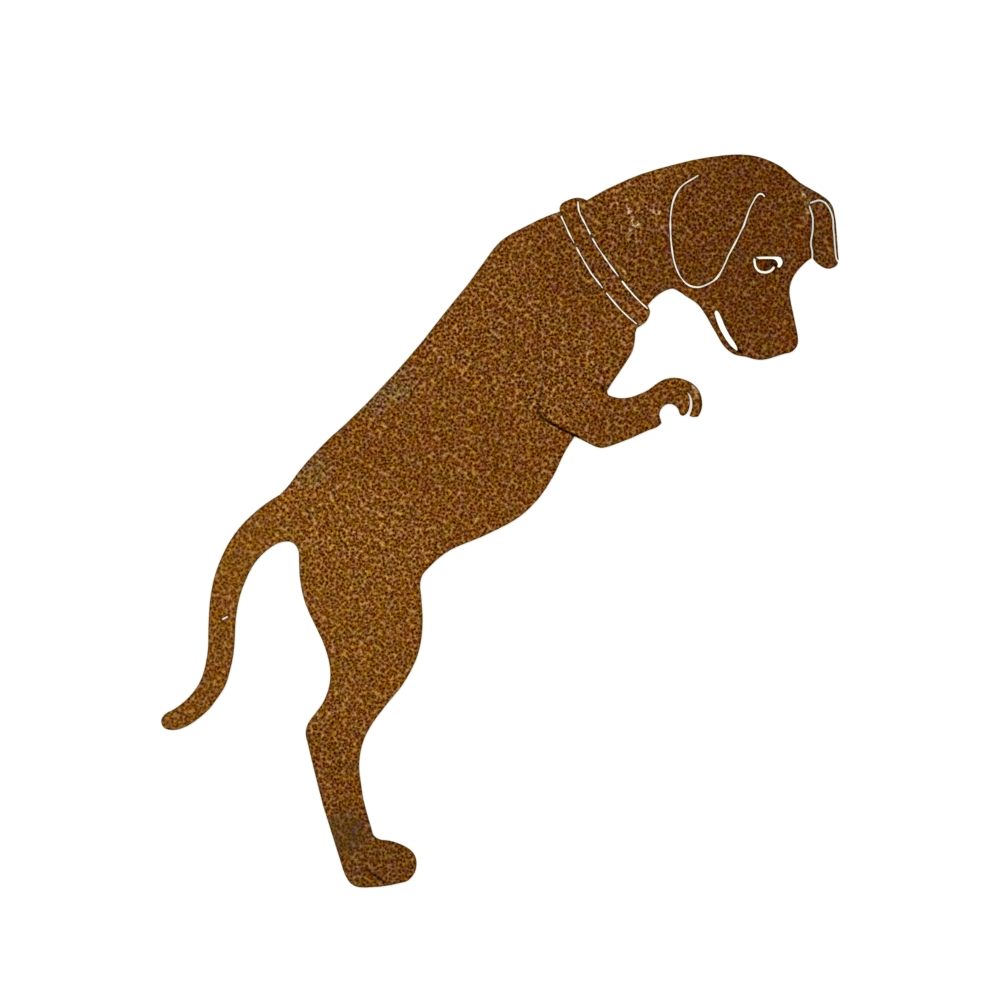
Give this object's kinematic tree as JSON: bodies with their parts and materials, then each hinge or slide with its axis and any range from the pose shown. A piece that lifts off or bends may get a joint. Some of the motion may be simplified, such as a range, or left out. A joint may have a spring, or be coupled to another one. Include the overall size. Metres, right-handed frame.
{
  "type": "rusted steel dog silhouette",
  "caption": "Flat dog cut from one rusted steel sheet, rearing on its hind leg, head bent, with collar, ear, eye and mouth cut through.",
  "frame": {"origin": "middle of the dog's length and height, on the back face that the sheet lies on", "axes": "+X towards the muzzle, +Y from the hind paw to the top of the head, +Z out of the front face, through the sheet"},
  "size_m": [0.5544, 0.6, 0.002],
  "materials": {
    "rusted_steel": "matte"
  },
  "bodies": {
    "root": {"dog_silhouette": "rusted_steel"}
  },
  "joints": []
}
